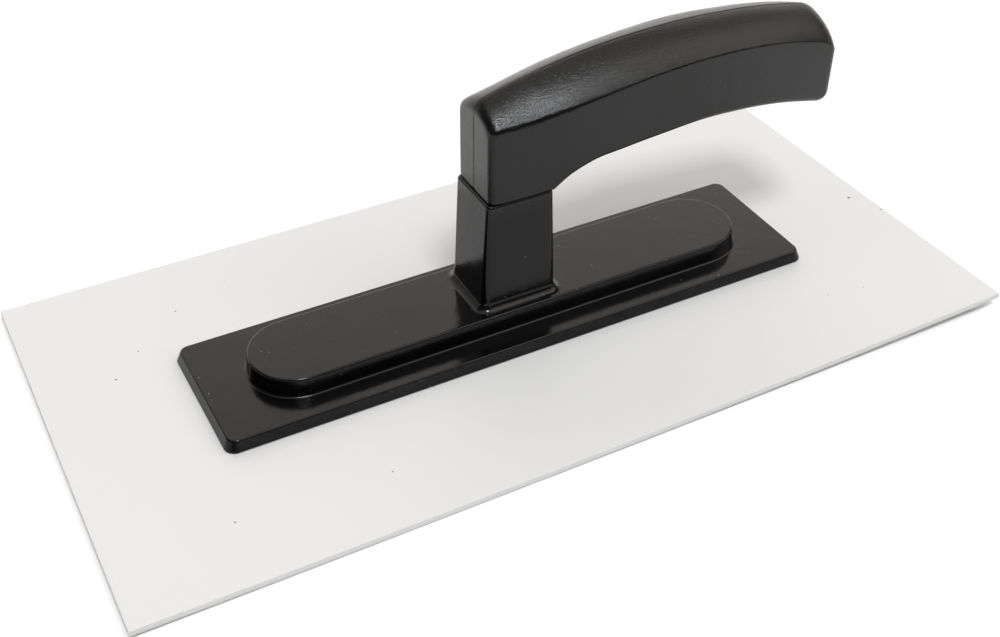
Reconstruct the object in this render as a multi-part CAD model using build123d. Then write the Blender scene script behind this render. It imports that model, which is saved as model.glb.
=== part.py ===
"""Plastic plastering trowel: a thin smooth blade with a bonded base and a closed-post hand grip.

Frame: origin at the centre of the blade's underside, +X along the blade towards the grip's free end,
+Y across the blade, +Z up. Millimetres.
"""
import os

from build123d import *

# Blade: a flat sheet with four plain straight edges.
blade_length = 280.0
blade_width = 140.0
blade_thickness = 2.0
blade_corner_radius = 0.8
blade_edge_chamfer = 0.2

# Adhesive film that holds the base on the blade, set in from the base's outline.
bond_thickness = 0.3
bond_setback = 0.5

# Base plate of the handle moulding.
base_length = 198.0
base_width = 48.2
base_thickness = 3.4
base_corner_radius = 3.5
base_top_radius = 0.7

# Raised boss with round ends, which stiffens the base plate.
boss_length = 166.0
boss_width = 28.3
boss_height = 6.0
boss_flare = 0.7
boss_top_radius = 0.7
boss_sink = 0.5

# The moulding is cored from below: outer walls and cross ribs of one thickness.
wall = 2.4
rib_thickness = 1.8
rib_pitch = 27.0
core_margin = 3.0
roof_thickness = 2.2

# Post that carries the grip, wider at its foot.
post_centre_x = -0.2
post_top_z = 48.4
post_foot_x = 25.0
post_foot_y = 21.2
post_top_x = 21.8
post_top_y = 20.6
post_corner_radius = 1.6
post_rim_radius = 0.9
post_foot_radius = 2.6

# Tang: the tongue on the post that the two grip shells close around.
tang_length = 12.0
tang_width = 9.0
tang_height = 20.0
tang_hole_diameter = 4.4
tang_tip_radius = 0.8
tang_clearance = 0.15

# Grip: two half shells that meet on the plane y = 0.
grip_back_x = -10.4
grip_front_x = 110.4
grip_wall = 2.6
grip_edge_radius = 2.4
grip_end_radius = 3.2
seam_width = 0.35
seam_depth = 0.5

# Stations along the grip. In side view: the arched spine, and the line where the roof meets the sides.
# In plan: the half width, which swells in the middle to fill the palm.
stations_x = [-12, 0, 14, 28, 43, 58, 72, 86, 100, 114]
spine_z = [76.8, 80.2, 83.2, 85.4, 86.6, 87.0, 86.5, 85.1, 82.8, 79.3]
crease_z = [72.2, 73.5, 75.8, 77.9, 79.6, 80.5, 80.1, 78.3, 75.0, 70.2]
half_width = [10.0, 11.6, 13.1, 13.5, 13.5, 13.4, 13.0, 12.3, 11.5, 10.5]
neck_half_width = 10.1

# The flanks lean out as they rise from the neck: half width and height.
flank_half = [(10.9, 48.4), (13.0, 58.2), (13.9, 70.0)]

# Underside of the grip: from the neck's front corner up the inside curve and out to the free end.
neck_front = (10.2, 48.4)
underside = [(14.6, 51.6), (22.0, 55.0), (33.0, 56.6), (47.0, 58.0), (61.0, 59.0), (75.0, 58.3),
             (89.0, 56.3), (105.0, 52.4)]
underside_end_fall = 1.2

# The inside of the shells: its slant forward under the neck's curve, and how much flatter its roof is.
inset_slant = 0.4
inset_flattening = 0.1

# The roof's flanks run on past the sides by this much before they are cut.
roof_overhang = 0.6

# Pegs on the near shell press into sockets on the far shell; the first peg crosses the tang's hole.
peg_diameter = 4.0
peg_reach = 5.0
tang_peg_reach = 3.0
peg_clearance = 0.1
socket_wall = 1.6
socket_spare = 0.3
peg_places = [(post_centre_x, 59.5), (34.0, 70.5), (64.0, 71.5), (95.0, 69.0)]

# Solids that join into one piece are sunk into each other by this much.
joining_depth = 1.0

# Cutting shapes reach past the grip on every side: limits along X, half limit along Y, limits along Z.
past_x = (grip_back_x - 10, grip_front_x + 10)
past_y = 40.0
past_z = (40.0, 95.0)

blade_top = blade_thickness
base_bottom = blade_top + bond_thickness
base_top = base_bottom + base_thickness
boss_top = base_top + boss_height


def between(sketch, z_low, z_high):
    """A prism of the sketch between two heights."""
    return extrude(Plane.XY.offset(z_low) * sketch, z_high - z_low)


def box(x_low, x_high, y_low, y_high, z_low, z_high):
    """A block given by its limits."""
    block = Box(x_high - x_low, y_high - y_low, z_high - z_low, align=(Align.MIN, Align.MIN, Align.MIN))
    return Pos(x_low, y_low, z_low) * block


def cross_pin(x, z, diameter, y_low, y_high):
    """A round bar along Y."""
    bar = Cylinder(diameter / 2, y_high - y_low, rotation=(90, 0, 0))
    return Pos(x, (y_low + y_high) / 2, z) * bar


def edges_near(solid, axis, value, reach=0.2):
    """Edges whose centre lies at the given place along an axis."""
    return solid.edges().filter_by_position(axis, value - reach, value + reach)


def blade():
    outline = RectangleRounded(blade_length, blade_width, blade_corner_radius)
    sheet = between(outline, 0, blade_top)
    rims = edges_near(sheet, Axis.Z, 0, 0.01) + edges_near(sheet, Axis.Z, blade_top, 0.01)
    return chamfer(rims, blade_edge_chamfer)


def bond_layer():
    outline = RectangleRounded(base_length - 2 * bond_setback, base_width - 2 * bond_setback,
                               base_corner_radius - bond_setback)
    return between(outline, blade_top, base_bottom)


def tapered(foot, top, z_low, z_high):
    """A straight loft between two sketches."""
    low_face = Plane.XY.offset(z_low) * foot
    high_face = Plane.XY.offset(z_high) * top
    return loft([low_face.face(), high_face.face()], ruled=True)


def base_skin():
    """The outside of the base moulding: plate, boss and post."""
    plate = between(RectangleRounded(base_length, base_width, base_corner_radius), base_bottom, base_top)
    plate = fillet(edges_near(plate, Axis.Z, base_top, 0.01), base_top_radius)
    boss_foot = SlotOverall(boss_length + 2 * boss_flare, boss_width + 2 * boss_flare)
    boss = tapered(boss_foot, SlotOverall(boss_length, boss_width), base_top - boss_sink, boss_top)
    boss = fillet(edges_near(boss, Axis.Z, boss_top, 0.01), boss_top_radius)
    foot = Pos(post_centre_x, 0) * RectangleRounded(post_foot_x, post_foot_y, post_corner_radius)
    top = Pos(post_centre_x, 0) * RectangleRounded(post_top_x, post_top_y, post_corner_radius)
    post = tapered(foot, top, boss_top - joining_depth, post_top_z)
    post = fillet(edges_near(post, Axis.Z, post_top_z, 0.01), post_rim_radius)
    body = plate + boss + post
    is_foot = [e for e in body.edges() if abs(e.center().Z - boss_top) < 0.05
               and abs(e.center().X - post_centre_x) < post_foot_x / 2 + 1
               and e.bounding_box().size.X < post_foot_x + 1]
    return fillet(is_foot, post_foot_radius)


def base_cores():
    """The hollows under the boss and in the post, parted by cross ribs."""
    core_width = boss_width - 2 * wall
    trough = between(SlotOverall(boss_length - 2 * wall, core_width), base_bottom, boss_top - roof_thickness)
    half_count = int(boss_length / 2 / rib_pitch)
    for step in range(-half_count, half_count + 1):
        if step == 0:
            continue
        x = post_centre_x + step * rib_pitch
        trough -= box(x - rib_thickness / 2, x + rib_thickness / 2, -core_width, core_width,
                      base_bottom, boss_top)
    foot = Rectangle(post_foot_x - 2 * wall, post_foot_y - 2 * wall)
    top = Rectangle(post_top_x - 2 * wall, post_top_y - 2 * wall)
    shaft = tapered(Pos(post_centre_x, 0) * foot, Pos(post_centre_x, 0) * top,
                    base_bottom, post_top_z - core_margin)
    return trough + shaft


def tang():
    block = Box(tang_length, tang_width, tang_height, align=(Align.CENTER, Align.CENTER, Align.MIN))
    block = Pos(post_centre_x, 0, post_top_z - joining_depth) * block
    tip = edges_near(block, Axis.Z, post_top_z - joining_depth + tang_height, 0.01)
    block = fillet(tip, tang_tip_radius)
    x, z = peg_places[0]
    return block - cross_pin(x, z, tang_hole_diameter, -tang_width, tang_width)


def base_moulding():
    return base_skin() - base_cores() + tang()


def grip_outline(inset):
    """Side view of the grip below its roof, drawn as a face on the XZ plane and moved in by the inset."""
    back = grip_back_x + inset
    front = grip_front_x - inset
    neck = (neck_front[0] - inset, neck_front[1] + inset)
    inside = [(x + inset * inset_slant, z + inset) for x, z in underside]
    end = (front, inside[-1][1] - underside_end_fall)
    curve = Spline([neck, *inside, end])
    frame = Polyline([end, (front, past_z[1]), (back, past_z[1]), (back, neck[1]), neck])
    return make_face([curve, frame])


def plan_block(inset):
    """A tall block with the grip's outline in plan, moved in by the inset."""
    edge = [(x, half - inset) for x, half in zip(stations_x, half_width)]
    mirrored = [(x, -y) for x, y in edge]
    outline = [Spline(edge), Spline(mirrored), Line(edge[0], mirrored[0]), Line(edge[-1], mirrored[-1])]
    return between(make_face(outline), *past_z)


def flank_block(inset):
    """A bar along the grip whose flanks lean out from the neck up to the roof, moved in by the inset."""
    right = [(half - inset, z) for half, z in flank_half]
    left = [(-y, z) for y, z in right]
    foot = right[0][0]
    head = right[-1][0]
    below = Polyline([right[0], (foot, past_z[0]), (-foot, past_z[0]), left[0]])
    above = Polyline([right[-1], (head, past_z[1]), (-head, past_z[1]), left[-1]])
    face = make_face([ThreePointArc(*right), ThreePointArc(*left), below, above])
    return extrude(Plane.YZ * face, past_x[1], both=True)


def roof_block(inset):
    """A loft of arched sections along the grip; its flanks stand wider than the grip."""
    sections = []
    for x, top, low, width in zip(stations_x, spine_z, crease_z, half_width):
        apex = top - inset
        half = width - inset
        rise = top - low - inset * inset_flattening
        radius = (half ** 2 + rise ** 2) / (2 * rise)
        reach = min(radius, half + roof_overhang)
        shoulder = apex - radius + (radius ** 2 - reach ** 2) ** 0.5
        arch = ThreePointArc((-reach, shoulder), (0, apex), (reach, shoulder))
        legs = Polyline([(reach, shoulder), (reach, past_z[0]), (-reach, past_z[0]), (-reach, shoulder)])
        sections.append(Plane.YZ.offset(x) * make_face([arch, legs]))
    return loft([s.face() for s in sections])


def grip_body(inset=0.0):
    """The grip as one solid block, shrunk by the inset."""
    side = extrude(Plane.XZ * grip_outline(inset), past_y, both=True)
    return side & plan_block(inset) & flank_block(inset) & roof_block(inset)


def grip_block():
    """The outer form with its edges rounded."""
    body = grip_body()
    back = edges_near(body, Axis.X, grip_back_x, 0.01)
    upright = [e for e in back if abs(e.center().Y) > neck_half_width - 0.5]
    body = fillet(upright, grip_edge_radius)
    free_end = edges_near(body, Axis.X, grip_front_x, 0.01)
    return fillet(free_end, grip_end_radius)


def grip_shells():
    """Near and far half shells with pegs, sockets and tang pads."""
    outer = grip_block()
    hollow = grip_body(grip_wall)
    shell = outer - hollow
    seam = box(*past_x, -seam_width / 2, seam_width / 2, *past_z)
    groove = seam & (outer - grip_body(seam_depth))
    shell = shell - groove
    mouth_y = tang_width / 2 + tang_clearance
    mouth_x = tang_length / 2 + tang_clearance
    neck_z = neck_front[1]
    mouth = box(post_centre_x - mouth_x, post_centre_x + mouth_x, -mouth_y, mouth_y,
                neck_z - joining_depth, neck_z + grip_wall + joining_depth)
    shell = shell - mouth
    near = shell & box(*past_x, -past_y, 0, *past_z)
    far = shell & box(*past_x, 0, past_y, *past_z)
    mid_wall = grip_body(grip_wall / 2)
    boss_diameter = peg_diameter + 2 * socket_wall
    socket_diameter = peg_diameter + peg_clearance
    for index, (x, z) in enumerate(peg_places):
        crosses_tang = index == 0
        root = mouth_y if crosses_tang else 0
        reach = tang_peg_reach if crosses_tang else peg_reach
        near += cross_pin(x, z, boss_diameter, -past_y, -root) & mid_wall
        near += cross_pin(x, z, peg_diameter, -past_y, root + reach) & mid_wall
        far += cross_pin(x, z, boss_diameter, root, past_y) & mid_wall
        far -= cross_pin(x, z, socket_diameter, root - peg_clearance, root + reach + socket_spare)
    return near, far


def main():
    near, far = grip_shells()
    parts = {
        "blade": blade(),
        "bond_layer": bond_layer(),
        "base_moulding": base_moulding(),
        "grip_near_shell": near,
        "grip_far_shell": far,
    }
    os.makedirs("parts", exist_ok=True)
    for name, shape in parts.items():
        export_step(shape, f"parts/{name}.step")


main()
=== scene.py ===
"""Plastic plastering trowel on a white sweep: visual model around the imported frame. Metres."""

import math

import bpy
import numpy as np
from mathutils import Matrix, Vector

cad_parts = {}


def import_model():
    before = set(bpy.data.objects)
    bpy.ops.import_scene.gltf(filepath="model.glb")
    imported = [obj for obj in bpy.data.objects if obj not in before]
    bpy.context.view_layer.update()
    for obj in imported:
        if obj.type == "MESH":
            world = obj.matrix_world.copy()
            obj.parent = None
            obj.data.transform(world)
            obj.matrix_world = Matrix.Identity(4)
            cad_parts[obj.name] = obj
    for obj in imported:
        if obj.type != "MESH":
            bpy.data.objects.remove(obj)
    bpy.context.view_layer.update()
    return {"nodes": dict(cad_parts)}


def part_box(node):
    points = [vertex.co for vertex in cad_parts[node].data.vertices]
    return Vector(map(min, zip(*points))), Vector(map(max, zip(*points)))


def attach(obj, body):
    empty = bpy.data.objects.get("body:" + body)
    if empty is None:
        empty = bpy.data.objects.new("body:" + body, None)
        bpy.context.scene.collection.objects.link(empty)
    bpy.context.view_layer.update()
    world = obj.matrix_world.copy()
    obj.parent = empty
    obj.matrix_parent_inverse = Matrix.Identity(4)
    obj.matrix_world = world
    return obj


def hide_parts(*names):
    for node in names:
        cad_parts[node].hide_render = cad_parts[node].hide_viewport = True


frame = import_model()

MM = 0.001
BODY = "root"


# ---------------------------------------------------------------- sizes from the frame, in millimetres
def node_box(name):
    """Lowest and highest corner of a CAD node, in millimetres."""
    low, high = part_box(name)
    return np.array(low) / MM, np.array(high) / MM


_, blade_high = node_box("blade")
base_low, base_high = node_box("base_moulding")
grip_low, grip_high = node_box("grip_near_shell")

BLADE_HALF_X, BLADE_HALF_Y = blade_high[0], blade_high[1]
BLADE_TOP = blade_high[2]
BASE_HALF_X, BASE_HALF_Y = base_high[0], base_high[1]
BASE_BOTTOM = base_low[2]
GRIP_BACK, GRIP_FRONT = grip_low[0], grip_high[0]
GRIP_BOTTOM = grip_low[2]
POST_TOP = GRIP_BOTTOM

# Shape values that the boxes don't give.
BASE_TOP = BASE_BOTTOM + 3.4
BOSS_TOP = BASE_TOP + 6.0
BOSS_HALF_X, BOSS_HALF_Y = 83.0, 14.15
POST_X = -0.2
POST_TOP_HALF = (10.9, 10.3)
POST_FOOT_HALF = (12.5, 10.6)


# ---------------------------------------------------------------- mesh helpers
def make_object(name, verts, faces):
    """A smooth-shaded object from millimetre points."""
    mesh = bpy.data.meshes.new(name)
    mesh.from_pydata([tuple(v * MM) for v in verts], [], faces)
    mesh.validate()
    mesh.polygons.foreach_set("use_smooth", [True] * len(mesh.polygons))
    mesh.update()
    piece = bpy.data.objects.new(name, mesh)
    bpy.context.scene.collection.objects.link(piece)
    return piece


def weight_normals(piece):
    """Flat faces keep flat shading beside their rounded edges."""
    modifier = piece.modifiers.new("weighted_normals", "WEIGHTED_NORMAL")
    modifier.weight = 100
    modifier.keep_sharp = True


def stack_rings(name, rings, cap_start=True, cap_end=True):
    """Quads between closed rings of equal length, with the ends closed."""
    count = len(rings[0])
    verts = np.concatenate(rings)
    faces = []
    for level in range(len(rings) - 1):
        low, high = level * count, (level + 1) * count
        for i in range(count):
            j = (i + 1) % count
            faces.append((low + i, low + j, high + j, high + i))
    if cap_start:
        faces.append(tuple(reversed(range(count))))
    if cap_end:
        top = (len(rings) - 1) * count
        faces.append(tuple(range(top, top + count)))
    return make_object(name, verts, faces)


ARC_STEPS, LONG_STEPS, SHORT_STEPS = 14, 56, 12


def round_rect(half_x, half_y, radius, z, centre_x=0.0):
    """A closed ring, anticlockwise from the middle of the +X side."""
    radius = max(radius, 0.02)
    points = []
    corners = [(1, 1, 0), (-1, 1, 90), (-1, -1, 180), (1, -1, 270)]
    for index, (sx, sy, start) in enumerate(corners):
        cx, cy = sx * (half_x - radius), sy * (half_y - radius)
        for k in range(ARC_STEPS + 1):
            angle = math.radians(start + 90 * k / ARC_STEPS)
            points.append((cx + radius * math.cos(angle), cy + radius * math.sin(angle)))
        nx, ny, turn = corners[(index + 1) % 4]
        end = (nx * (half_x - radius) + radius * math.cos(math.radians(turn)),
               ny * (half_y - radius) + radius * math.sin(math.radians(turn)))
        steps = LONG_STEPS if index % 2 == 0 else SHORT_STEPS
        x0, y0 = points[-1]
        for k in range(1, steps):
            points.append((x0 + (end[0] - x0) * k / steps, y0 + (end[1] - y0) * k / steps))
    flat = np.array(points)
    return np.column_stack([flat[:, 0] + centre_x, flat[:, 1], np.full(len(flat), z)])


def arc_path(start, corner, end, radius, steps=7):
    """(offset, z) points that round the corner between two straight runs."""
    start, corner, end = np.array(start), np.array(corner), np.array(end)
    back = (start - corner) / np.linalg.norm(start - corner)
    ahead = (end - corner) / np.linalg.norm(end - corner)
    half = math.acos(np.clip(back @ ahead, -1, 1)) / 2
    reach = radius / math.tan(half)
    centre = corner + (back + ahead) / np.linalg.norm(back + ahead) * radius / math.sin(half)
    first, last = corner + back * reach - centre, corner + ahead * reach - centre
    total = math.acos(np.clip(first @ last / radius ** 2, -1, 1))
    points = []
    for t in np.linspace(0, 1, steps):
        offset = (math.sin(total * (1 - t)) * first + math.sin(total * t) * last) / math.sin(total)
        points.append(tuple(centre + offset))
    return points


# ---------------------------------------------------------------- blade
# The sheet's set: its lowest line lies at BOW_CENTRE_X, and the near edge rises more than the far edge.
BOW_CENTRE_X = -48.0
NEAR_RISE, FAR_RISE = 1.65, 0.25
BOW_ONSET = 1.3
BLADE_ROUNDING = 0.22


def blade_lift(x, y):
    """How far the sheet stands up: flat under the base, rising towards the free edges."""
    across = y / (2 * BLADE_HALF_Y) + 0.5
    rise = NEAR_RISE * (1 - across) + FAR_RISE * across
    bow = rise * ((x - BOW_CENTRE_X) / BLADE_HALF_X) ** 2
    out_x = np.maximum(0, np.abs(x) - BASE_HALF_X) / (BLADE_HALF_X - BASE_HALF_X)
    out_y = np.maximum(0, np.abs(y) - BASE_HALF_Y) / (BLADE_HALF_Y - BASE_HALF_Y)
    return bow * np.minimum(1, np.hypot(out_x, out_y)) ** BOW_ONSET


def blade_piece():
    """A thin sheet with softly broken edges, as two grids joined by a rim."""
    rounding = BLADE_ROUNDING
    angles = np.array([0, 0.08, 0.3, 0.62, 1.0]) * math.pi / 2

    def stations(half, count):
        edge = half - rounding + rounding * np.sin(angles)
        inner = np.linspace(-(half - rounding), half - rounding, count)
        return np.concatenate([-edge[::-1][:-1], inner, edge[1:]])

    xs, ys = stations(BLADE_HALF_X, 141), stations(BLADE_HALF_Y, 71)
    grid_x, grid_y = np.meshgrid(xs, ys, indexing="ij")

    over_x = np.clip(np.abs(grid_x) - (BLADE_HALF_X - rounding), 0, rounding)
    over_y = np.clip(np.abs(grid_y) - (BLADE_HALF_Y - rounding), 0, rounding)
    over = np.minimum(np.hypot(over_x, over_y), rounding)
    falls = rounding - np.sqrt(rounding ** 2 - over ** 2)
    lift = blade_lift(grid_x, grid_y)
    top = np.stack([grid_x, grid_y, BLADE_TOP + lift - falls], -1).reshape(-1, 3)
    bottom = np.stack([grid_x, grid_y, lift + falls], -1).reshape(-1, 3)
    nx, ny = grid_x.shape
    faces = []
    shift = nx * ny
    for i in range(nx - 1):
        for j in range(ny - 1):
            a, b, c, d = i * ny + j, (i + 1) * ny + j, (i + 1) * ny + j + 1, i * ny + j + 1
            faces.append((a, b, c, d))
            faces.append((shift + d, shift + c, shift + b, shift + a))
    rim = [i * ny for i in range(nx)] + [(nx - 1) * ny + j for j in range(1, ny)]
    rim += [i * ny + ny - 1 for i in range(nx - 2, -1, -1)] + [j for j in range(ny - 2, 0, -1)]
    for a, b in zip(rim, rim[1:] + rim[:1]):
        faces.append((shift + a, shift + b, b, a))
    return make_object("blade_sheet", np.concatenate([top, bottom]), faces)


# ---------------------------------------------------------------- base moulding
PLATE_DRAFT, PLATE_CORNER = 1.3, 3.6
PLATE_FOOT_RADIUS, PLATE_TOP_RADIUS = 0.15, 0.6
BOSS_FLARE, BOSS_RADIUS = 0.75, 0.7
POST_FOOT_RADIUS, POST_RIM_RADIUS = 2.6, 0.9
POST_CORNER_FOOT, POST_CORNER_TOP = 2.1, 1.7
POST_WALL = (17.0, 46.0)
LEDGE = 6.0


def plate_rings():
    """The base plate, from its foot up its drafted wall and in over the top edge."""
    foot, outer, top = (0.4, BASE_BOTTOM), (0.0, BASE_BOTTOM), (PLATE_DRAFT, BASE_TOP)
    path = arc_path(foot, outer, top, PLATE_FOOT_RADIUS, 4)
    path += arc_path(outer, top, (LEDGE, BASE_TOP), PLATE_TOP_RADIUS, 8)
    return [round_rect(BASE_HALF_X - offset, BASE_HALF_Y - offset, PLATE_CORNER - offset * 0.6, z)
            for offset, z in path]


def boss_rings():
    """The raised boss with round ends, filleted into the plate."""
    foot, top = (-BOSS_FLARE, BASE_TOP), (0.0, BOSS_TOP)
    path = arc_path((-LEDGE, BASE_TOP), foot, top, BOSS_RADIUS, 7)
    path += arc_path(foot, top, (LEDGE, BOSS_TOP), BOSS_RADIUS, 8)
    return [round_rect(BOSS_HALF_X - offset, BOSS_HALF_Y - offset, BOSS_HALF_Y - offset, z)
            for offset, z in path]


def post_rings():
    """The tapered post: foot fillet, straight walls and rounded rim."""
    height, middle = POST_TOP - BOSS_TOP, 30.0
    path = arc_path((-4.0, BOSS_TOP), (0.0, BOSS_TOP), (0.0, middle), POST_FOOT_RADIUS, 10)
    path += [(0.0, z) for z in np.linspace(*POST_WALL, 10)]
    path += arc_path((0.0, middle), (0.0, POST_TOP), (4.0, POST_TOP), POST_RIM_RADIUS, 8)
    rings = []
    for offset, z in path:
        up = (z - BOSS_TOP) / height
        half_x = POST_FOOT_HALF[0] + (POST_TOP_HALF[0] - POST_FOOT_HALF[0]) * up - offset
        half_y = POST_FOOT_HALF[1] + (POST_TOP_HALF[1] - POST_FOOT_HALF[1]) * up - offset
        corner = POST_CORNER_FOOT + (POST_CORNER_TOP - POST_CORNER_FOOT) * up - offset
        rings.append(round_rect(half_x, half_y, max(corner, 0.4), z, POST_X))
    return rings


def base_piece():
    """Plate, boss and post as one skin, built from stacked rings."""
    piece = stack_rings("base_skin", plate_rings() + boss_rings() + post_rings())
    weight_normals(piece)
    return piece


# ---------------------------------------------------------------- grip
# Stations along the grip as (x, value): the spine, the crease between roof and side, the half width,
# and the underside from the neck's front corner to the free end.
SPINE = np.array([(-12, 76.8), (0, 80.3), (14, 83.35), (28, 85.5), (43, 86.7), (58, 87.05), (72, 86.5),
                  (86, 85.2), (100, 82.9), (114, 79.4)])
CREASE = np.array([(-12, 72.2), (0, 73.45), (14, 75.8), (28, 77.9), (43, 79.65), (58, 80.55), (72, 80.1),
                   (86, 78.3), (100, 75.05), (114, 70.2)])
WIDTH = np.array([(-12, 10.0), (0, 11.7), (14, 13.15), (28, 13.5), (43, 13.4), (58, 13.4), (72, 13.0),
                  (86, 12.3), (100, 11.45), (114, 10.5)])
NECK_FRONT = 10.2
UNDER = np.array([(NECK_FRONT, GRIP_BOTTOM), (14.6, 51.6), (22.0, 55.0), (33.0, 56.6), (47.0, 58.0),
                  (61.0, 59.0), (75.0, 58.3), (89.0, 56.3), (105.0, 52.4), (114.0, 49.8)])

# The flanks lean out as they rise: greatest half width, the height it is reached at, and their curve.
FLANK_HALF, FLANK_TOP, FLANK_CURVE = 13.9, 70.0, 150.0

# Roundings towards the back face and the free end: of the flanks, the roof and the underside.
BACK_ROUNDING = {"side": 2.2, "roof": 3.2, "below": 0.5}
FRONT_ROUNDING = {"side": 2.6, "roof": 8.0, "below": 5.2}
CREASE_SHARE = 0.45
BACK_LENGTH, END_LENGTH = 4.2, 8.0
NECK_GAP = 0.3
APEX_RADIUS = 6.0
SEAM_HALF, SEAM_DEPTH, SEAM_LIP = 0.18, 0.6, 0.12

# Values that change smoothly along the grip: from x, to x, first value, last value.
BOTTOM_RADIUS = (8.0, 16.0, 0.8, 2.4)
CREASE_RADIUS = (-2.0, 38.0, 2.6, 1.2)
ROOF_EDGE_ANGLE = (70.0, 100.0, math.radians(46), math.radians(60))
SEAM_TOP_HALF = (4.0, 26.0, 0.2 * SEAM_HALF, SEAM_HALF)


def smooth_curve(table, x):
    """Cubic through the table's points, with slopes from their neighbours."""
    xs, zs = table[:, 0], table[:, 1]
    slopes = np.gradient(zs, xs)
    i = np.clip(np.searchsorted(xs, x) - 1, 0, len(xs) - 2)
    width = xs[i + 1] - xs[i]
    t = (x - xs[i]) / width
    a, b = (1 + 2 * t) * (1 - t) ** 2, t * (1 - t) ** 2
    c, d = t * t * (3 - 2 * t), t * t * (t - 1)
    return a * zs[i] + b * width * slopes[i] + c * zs[i + 1] + d * width * slopes[i + 1]


def along(values, x):
    """The value at x of one that eases from its first to its last value between two stations."""
    start, end, first, last = values
    t = min(max((x - start) / (end - start), 0.0), 1.0)
    return first + (last - first) * t * t * (3 - 2 * t)


def end_inset(distance, radius):
    """How far a surface is drawn in at a distance from the end, for a rounded end edge."""
    if distance >= radius:
        return 0.0
    return radius - math.sqrt(radius ** 2 - (radius - distance) ** 2)


def sample_path(points, count):
    """The polyline resampled at even steps."""
    points = np.array(points)
    step = np.linalg.norm(np.diff(points, axis=0), axis=1)
    walked = np.concatenate([[0], np.cumsum(step)])
    wanted = np.linspace(0, walked[-1], count)
    return np.column_stack([np.interp(wanted, walked, points[:, k]) for k in range(2)])


def roof_arch(start, spine_z, edge, steps=26):
    """The roof's half section from the crease up to the spine: a wide arc, rounded off at the apex."""
    half, low = start
    rise, apex = spine_z - low, min(APEX_RADIUS, half * 0.4)
    low_turn, high_turn = 0.0, edge - 0.05
    for _ in range(40):
        turn = (low_turn + high_turn) / 2
        radius = (half - apex * math.sin(turn)) / (math.sin(edge) - math.sin(turn))
        height = radius * (math.cos(turn) - math.cos(edge)) + apex * (1 - math.cos(turn))
        low_turn, high_turn = (turn, high_turn) if height < rise else (low_turn, turn)
    wide = np.linspace(edge, turn, steps)
    tip = np.linspace(turn, 0, 8)[1:]
    wide_across = apex * math.sin(turn) + radius * (np.sin(wide) - math.sin(turn))
    across = np.concatenate([wide_across, apex * np.sin(tip)])
    up = np.concatenate([radius * (np.cos(wide) - math.cos(edge)), height - apex * (1 - np.cos(tip))])
    return np.column_stack([across, low + up * rise / height])


def grip_profile(x):
    """Half section at x as (distance from the mid plane, z), from the bottom's middle to the spine."""
    inset = {part: end_inset(x - GRIP_BACK, BACK_ROUNDING[part])
             + end_inset(GRIP_FRONT - x, FRONT_ROUNDING[part]) for part in BACK_ROUNDING}
    half = smooth_curve(WIDTH, x) - inset["side"]
    spine_z = smooth_curve(SPINE, x) - inset["roof"]
    crease_z = smooth_curve(CREASE, x) - inset["roof"] * CREASE_SHARE
    under_z = GRIP_BOTTOM + NECK_GAP if x <= NECK_FRONT else smooth_curve(UNDER, x)
    floor_z = under_z + inset["below"]
    corner = np.array([half, crease_z])

    low_half = min(half, FLANK_HALF - inset["side"] - (FLANK_TOP - floor_z) ** 2 / FLANK_CURVE)
    lean = np.linspace(0, 1, 12)[1:]
    flank_y = half - (half - low_half) * (1 - lean) ** 2
    flank = np.column_stack([flank_y, floor_z + (crease_z - floor_z) * lean])
    bottom_radius = min(along(BOTTOM_RADIUS, x), half * 0.5)
    bottom = [(0.0, floor_z)] + arc_path((0, floor_z), (low_half, floor_z), flank[0], bottom_radius, 9)

    arch = roof_arch(corner, spine_z, along(ROOF_EDGE_ANGLE, x))
    crease = arc_path(flank[-2], corner, arch[1], along(CREASE_RADIUS, x), 7)
    kept = arch[arch[:, 0] < crease[-1][0] - 0.1]
    dome = sample_path([crease[-1], *kept], 26)
    wall = [point for point in flank if bottom[-1][1] + 0.3 < point[1] < crease[0][1] - 0.3]
    side = sample_path([bottom[-1], *wall, crease[0]], 14)
    return sample_path(bottom[:2], 6)[:-1], bottom[1:], side[1:-1], crease, dome[1:]


def grip_stations():
    """Places along the grip, closer together at its ends and at the neck's front corner."""
    ends = 1 - np.cos(np.linspace(0, math.pi / 2, 13))
    neck_steps = np.array([0.05, 0.4, 0.9, 1.6, 2.4])
    return np.concatenate([GRIP_BACK + BACK_LENGTH * ends,
                           np.linspace(GRIP_BACK + BACK_LENGTH, NECK_FRONT, 14)[1:],
                           NECK_FRONT + neck_steps,
                           np.linspace(NECK_FRONT + 3.4, GRIP_FRONT - END_LENGTH, 86),
                           GRIP_FRONT - END_LENGTH * ends[::-1][1:]])


def grip_piece(name, side):
    """One half shell, closed on the mid plane, with a fine groove along the seam."""
    rings = []
    for x in grip_stations():
        half = np.concatenate([np.array(p) for p in grip_profile(x)])
        half[:, 0] = np.maximum(half[:, 0], SEAM_HALF)
        low, high = half[0, 1], half[-1, 1]
        top = along(SEAM_TOP_HALF, x)
        groove_y = SEAM_HALF if x < GRIP_BACK + 0.5 else 0.0
        half[0] = (SEAM_HALF + SEAM_LIP, low)
        half[-1] = (top + SEAM_LIP, high)
        closing = [(top + 0.03, high - 0.04), (top, high - SEAM_LIP), (top, high - SEAM_DEPTH),
                   (groove_y, high - SEAM_DEPTH), (groove_y, low + SEAM_DEPTH),
                   (SEAM_HALF, low + SEAM_DEPTH), (SEAM_HALF, low + SEAM_LIP),
                   (SEAM_HALF + 0.03, low + 0.04)]
        ring = np.concatenate([half, np.array(closing)])
        ring = np.column_stack([np.full(len(ring), x), ring[:, 0] * side, ring[:, 1]])
        rings.append(ring if side < 0 else ring[::-1])
    piece = stack_rings(name, rings)
    piece.modifiers.new("tidy_caps", "TRIANGULATE").min_vertices = 5
    weight_normals(piece)
    return piece


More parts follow.
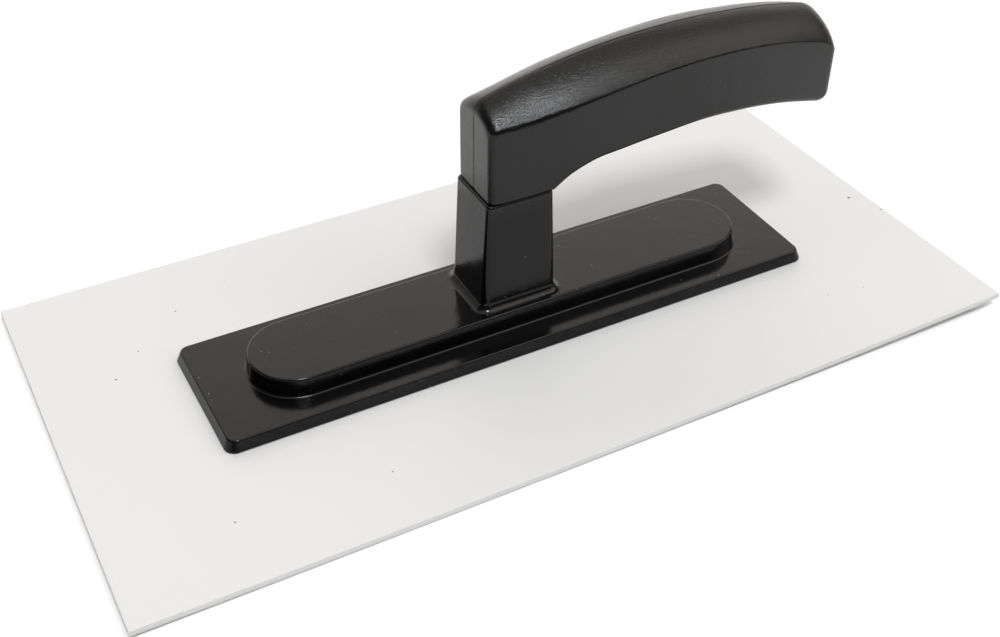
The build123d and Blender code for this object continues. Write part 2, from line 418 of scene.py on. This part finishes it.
# ---------------------------------------------------------------- materials
def new_material(name, color, roughness, **sockets):
    """A plain plastic; further sockets are named with _ for a space."""
    material = bpy.data.materials.new(name)
    material.use_nodes = True
    shader = material.node_tree.nodes["Principled BSDF"]
    shader.inputs["Base Color"].default_value = (*color, 1)
    shader.inputs["Roughness"].default_value = roughness
    for socket, value in sockets.items():
        shader.inputs[socket.replace("_", " ")].default_value = value
    return material


def add_node(material, kind, **values):
    """A shader node with its inputs or settings filled in."""
    node = material.node_tree.nodes.new(kind)
    for key, value in values.items():
        if key in node.inputs:
            node.inputs[key].default_value = value
        else:
            setattr(node, key, value)
    return node


def noise(material, scale, detail=2.0, rough=0.5):
    """Noise in object space; the scale is in cycles per metre."""
    coords = add_node(material, "ShaderNodeTexCoord")
    texture = add_node(material, "ShaderNodeTexNoise", Scale=scale, Detail=detail, Roughness=rough)
    material.node_tree.links.new(coords.outputs["Object"], texture.inputs["Vector"])
    return texture.outputs["Fac"]


RANGE_SOCKETS = ("From Min", "From Max", "To Min", "To Max")


def remap(material, value, low, high, out_low, out_high):
    """The value mapped from low..high to out_low..out_high."""
    node = add_node(material, "ShaderNodeMapRange")
    for socket, number in zip(RANGE_SOCKETS, (low, high, out_low, out_high)):
        node.inputs[socket].default_value = number
    material.node_tree.links.new(value, node.inputs["Value"])
    return node.outputs["Result"]


def add_bump(material, height, distance, strength=1.0, under=None):
    """A bumped normal, on top of the one under it. The distance is in metres."""
    node = add_node(material, "ShaderNodeBump", Strength=strength, Distance=distance)
    links = material.node_tree.links
    links.new(height, node.inputs["Height"])
    if under is not None:
        links.new(under, node.inputs["Normal"])
    return node.outputs["Normal"]


def finish_material(material, normal=None, roughness=None):
    """The material with its normal and roughness connected."""
    shader = material.node_tree.nodes["Principled BSDF"]
    if normal is not None:
        material.node_tree.links.new(normal, shader.inputs["Normal"])
    if roughness is not None:
        material.node_tree.links.new(roughness, shader.inputs["Roughness"])
    return material


def mix_color(material, mask, low, high):
    """The base colour goes from one colour to another with the mask."""
    node = add_node(material, "ShaderNodeMix", data_type="RGBA")
    node.inputs["A"].default_value = (*low, 1)
    node.inputs["B"].default_value = (*high, 1)
    links = material.node_tree.links
    links.new(mask, node.inputs["Factor"])
    links.new(node.outputs["Result"], material.node_tree.nodes["Principled BSDF"].inputs["Base Color"])


def specks(material, scale, threshold):
    """A mask of sparse small specks."""
    return remap(material, noise(material, scale, 1.0), threshold, threshold + 0.015, 0.0, 1.0)


BLADE_WHITE, SPECK_BROWN = (0.645, 0.645, 0.645), (0.16, 0.15, 0.14)
BASE_BLACK, DUST_GREY = (0.0018, 0.0018, 0.002), (0.2, 0.2, 0.19)
GRIP_BLACK = (0.003, 0.003, 0.003)
BOND_BLACK = (0.01, 0.01, 0.01)
PAPER_WHITE = (0.93, 0.93, 0.93)


def blade_material():
    """Milky sheet plastic, faintly uneven in gloss, with a few dark specks."""
    material = new_material("blade_plastic", BLADE_WHITE, 0.42)
    mix_color(material, specks(material, 430.0, 0.815), BLADE_WHITE, SPECK_BROWN)
    cloud = noise(material, 35.0, 3.0)
    fine = noise(material, 1200.0, 2.0)
    normal = add_bump(material, fine, 0.00002, 0.3)
    return finish_material(material, normal, remap(material, cloud, 0.3, 0.7, 0.38, 0.5))


def base_material():
    """Semi-gloss black moulding with slight waves and a trace of dust."""
    material = new_material("base_plastic", BASE_BLACK, 0.15, IOR=1.39)
    mix_color(material, specks(material, 900.0, 0.79), BASE_BLACK, DUST_GREY)
    waves = noise(material, 110.0, 3.0, 0.6)
    fine = noise(material, 1400.0, 2.0)
    normal = add_bump(material, waves, 0.0004, 0.25)
    normal = add_bump(material, fine, 0.00006, 0.3, normal)
    cloud = noise(material, 60.0, 4.0, 0.6)
    return finish_material(material, normal, remap(material, cloud, 0.3, 0.7, 0.1, 0.2))


def grip_material():
    """Black plastic with a coarse spark-eroded grain that breaks its highlights into glints."""
    material = new_material("grip_plastic", GRIP_BLACK, 0.2, IOR=1.41)
    grain = noise(material, 1850.0, 2.0, 0.6)
    normal = add_bump(material, grain, 0.00017, 0.8)
    cloud = noise(material, 120.0, 3.0)
    return finish_material(material, normal, remap(material, cloud, 0.3, 0.7, 0.16, 0.22))


def bond_material():
    """Dark adhesive, slightly lumpy."""
    material = new_material("adhesive", BOND_BLACK, 0.5)
    lumps = noise(material, 900.0, 3.0)
    return finish_material(material, add_bump(material, lumps, 0.0001, 0.5))


# ---------------------------------------------------------------- the object
def place(piece, material, slot, *nodes):
    """Gives the piece its material, hangs it on the body and hides the CAD nodes it stands for."""
    piece.data.materials.clear()
    piece.data.materials.append(material)
    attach(piece, BODY)
    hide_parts(*nodes)


grip_plastic = grip_material()
place(blade_piece(), blade_material(), "blade_plastic", "blade")
place(base_piece(), base_material(), "base_plastic", "base_moulding")
place(grip_piece("grip_shell_near", -1), grip_plastic, "grip_plastic", "grip_near_shell")
place(grip_piece("grip_shell_far", 1), grip_plastic, "grip_plastic", "grip_far_shell")
bond = frame["nodes"]["bond_layer"]
bond.data.materials.clear()
bond.data.materials.append(bond_material())


# ---------------------------------------------------------------- floor, light and camera
FLOOR_DROP = 0.0002


def floor():
    """White paper that ends in front of the tool, so that the plastic mirrors a dim room there."""
    mesh = bpy.data.meshes.new("floor")
    side, front, behind = 2.5, -0.42, 3.0
    corners = [(-side, front, 0), (side, front, 0), (side, behind, 0), (-side, behind, 0)]
    mesh.from_pydata(corners, [], [(0, 1, 2, 3)])
    plane = bpy.data.objects.new("floor", mesh)
    plane.location.z = -FLOOR_DROP
    bpy.context.scene.collection.objects.link(plane)
    mesh.materials.append(new_material("floor_paper", PAPER_WHITE, 0.9))


# Sky brightness as (from, to, first, last) over the cosine to a direction.
AWAY, AWAY_RAMP = (0.25, 0.97, 0.0), (0.35, 0.85, 0.1, 1.5)
ZENITH_RAMP = (0.7, 1.0, 0.0, 0.9)
RIGHT, RIGHT_RAMP = (0.66, -0.32, 0.68), (0.8, 0.96, 0.0, 1.6)
SKY_TINT = (1.035, 1.0, 0.965, 1)
BACKDROP_WHITE = (1, 1, 1, 1)


def world():
    """A sky that is dim on the camera's side, bright behind, and brighter overhead and at the right."""
    sky = bpy.data.worlds.new("studio")
    bpy.context.scene.world = sky
    sky.use_nodes = True
    nodes, links = sky.node_tree.nodes, sky.node_tree.links
    background = nodes["Background"]
    direction = nodes.new("ShaderNodeTexCoord").outputs["Generated"]

    def cosine(axis):
        node = nodes.new("ShaderNodeVectorMath")
        node.operation = "DOT_PRODUCT"
        node.inputs[1].default_value = axis
        links.new(direction, node.inputs[0])
        return node.outputs["Value"]

    def ramp(value, numbers):
        node = nodes.new("ShaderNodeMapRange")
        node.interpolation_type = "SMOOTHSTEP"
        for socket, number in zip(RANGE_SOCKETS, numbers):
            node.inputs[socket].default_value = number
        links.new(value, node.inputs["Value"])
        return node.outputs["Result"]

    def add(first, second):
        node = nodes.new("ShaderNodeMath")
        links.new(first, node.inputs[0])
        links.new(second, node.inputs[1])
        return node.outputs["Value"]

    split = nodes.new("ShaderNodeSeparateXYZ")
    links.new(direction, split.inputs[0])
    level = add(ramp(cosine(AWAY), AWAY_RAMP), ramp(split.outputs["Z"], ZENITH_RAMP))
    total = add(level, ramp(cosine(RIGHT), RIGHT_RAMP))

    # The camera itself sees plain white.
    camera_ray = nodes.new("ShaderNodeLightPath").outputs["Is Camera Ray"]
    seen = nodes.new("ShaderNodeMix")
    links.new(camera_ray, seen.inputs["Factor"])
    links.new(total, seen.inputs["A"])
    seen.inputs["B"].default_value = 1.0
    links.new(seen.outputs["Result"], background.inputs["Strength"])
    tint = nodes.new("ShaderNodeMix")
    tint.data_type = "RGBA"
    links.new(camera_ray, tint.inputs["Factor"])
    tint.inputs["A"].default_value = SKY_TINT
    tint.inputs["B"].default_value = BACKDROP_WHITE
    links.new(tint.outputs["Result"], background.inputs["Color"])


LIGHT_TARGET = Vector((0.02, 0, 0.03))


def area_light(name, toward, distance, size, power, color):
    """A square softbox that stands in a direction from the tool and faces it. Metres and watts."""
    data = bpy.data.lights.new(name, "AREA")
    data.color = color
    data.shape = "SQUARE"
    data.size = size
    data.energy = power
    lamp = bpy.data.objects.new(name, data)
    direction = Vector(toward).normalized()
    lamp.location = direction * distance + LIGHT_TARGET
    lamp.rotation_euler = direction.to_track_quat("Z", "Y").to_euler()
    bpy.context.scene.collection.objects.link(lamp)
    return lamp


# The view: angles in degrees, distance and target in millimetres, lens in picture widths.
AZIMUTH, ELEVATION, ROLL = -28.566, 38.467, 0.621
DISTANCE = 397.63
TARGET = Vector((-12.31, -20.12, 20.0))
SENSOR_WIDTH = 36.0
FOCAL_RATIO = 1.36128
SHIFT_UP = -0.01089


def camera():
    """The camera, turned about its own axis by ROLL."""
    azimuth, elevation, roll = math.radians(AZIMUTH), math.radians(ELEVATION), math.radians(ROLL)
    back = Vector((math.sin(azimuth) * math.cos(elevation), -math.cos(azimuth) * math.cos(elevation),
                   math.sin(elevation)))
    right = Vector((math.cos(azimuth), math.sin(azimuth), 0))
    up = back.cross(right)
    turned_right = right * math.cos(roll) + up * math.sin(roll)
    turned_up = up * math.cos(roll) - right * math.sin(roll)
    data = bpy.data.cameras.new("camera")
    data.sensor_width = SENSOR_WIDTH
    data.lens = SENSOR_WIDTH * FOCAL_RATIO
    data.shift_y = SHIFT_UP
    data.clip_start = 0.01
    lens = bpy.data.objects.new("camera", data)
    rotation = Matrix((turned_right, turned_up, back)).transposed().to_4x4()
    lens.matrix_world = Matrix.Translation((TARGET + back * DISTANCE) * MM) @ rotation
    bpy.context.scene.collection.objects.link(lens)
    bpy.context.scene.camera = lens


floor()
world()
area_light("key_softbox", toward=(-0.082, -0.394, 0.916), distance=2.0, size=0.43, power=21.0,
           color=(0.97, 1.0, 1.03))
camera()
bpy.context.scene.view_settings.view_transform = "Standard"
